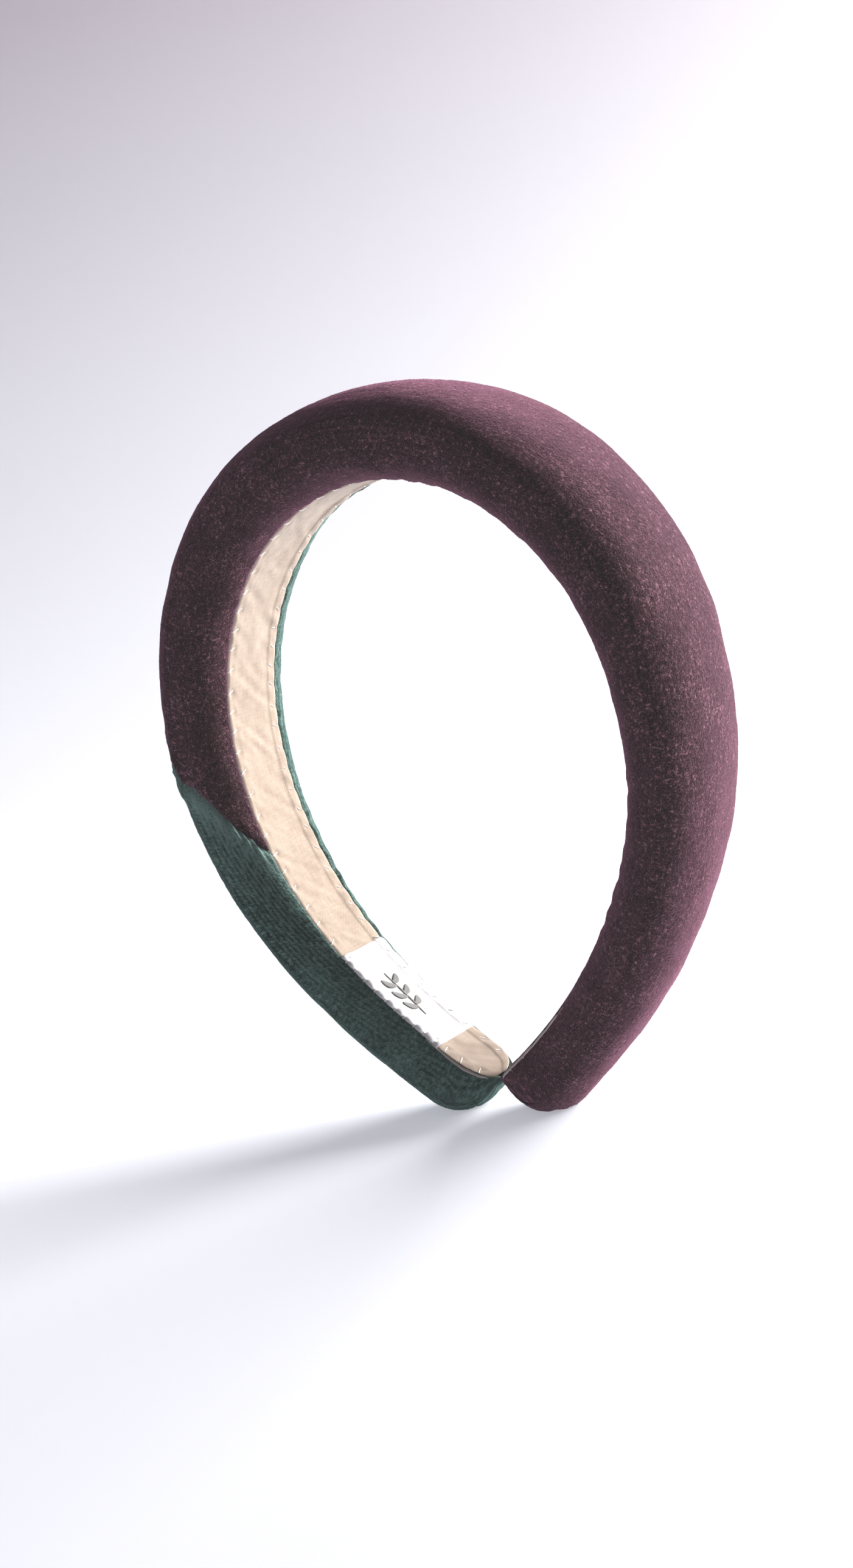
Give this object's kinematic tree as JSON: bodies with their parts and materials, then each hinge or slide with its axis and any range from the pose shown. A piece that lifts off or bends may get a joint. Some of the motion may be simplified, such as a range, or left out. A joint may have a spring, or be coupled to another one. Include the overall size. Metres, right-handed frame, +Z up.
{
  "type": "padded headband",
  "caption": "Padded velvet headband in two colours, an open hoop for the hair with a hand-sewn linen lining on its inner face.",
  "frame": {"origin": "on the surface that the two tips rest on, midway between the tips, in the band's middle plane", "axes": "+X towards the plum arm, +Y towards the back of the head, +Z up to the crown"},
  "size_m": [0.1475, 0.0404, 0.1753],
  "materials": {
    "velvet_plum": "short dense cotton velvet pile, plum, strong pink sheen",
    "velvet_green": "short dense cotton velvet pile, dark bottle green, cool sheen",
    "linen": "undyed linen plain weave, matte, folded hems",
    "label_satin": "white woven tape with a plain leaf outline, low sheen",
    "sewing_thread": "white cotton sewing thread, matte",
    "seam_thread": "dark sewing thread, matte",
    "core_plastic": "moulded plastic, satin",
    "foam": "open-cell upholstery foam, matte"
  },
  "bodies": {
    "root": {"band_core": "core_plastic", "foam_pad": "foam", "velvet_cover_plum": "velvet_plum", "velvet_cover_green": "velvet_green", "panel_seam_thread": "seam_thread", "lining_strip": "linen", "woven_label": "label_satin", "whip_stitches_front": "sewing_thread", "whip_stitches_rear": "sewing_thread"}
  },
  "joints": []
}
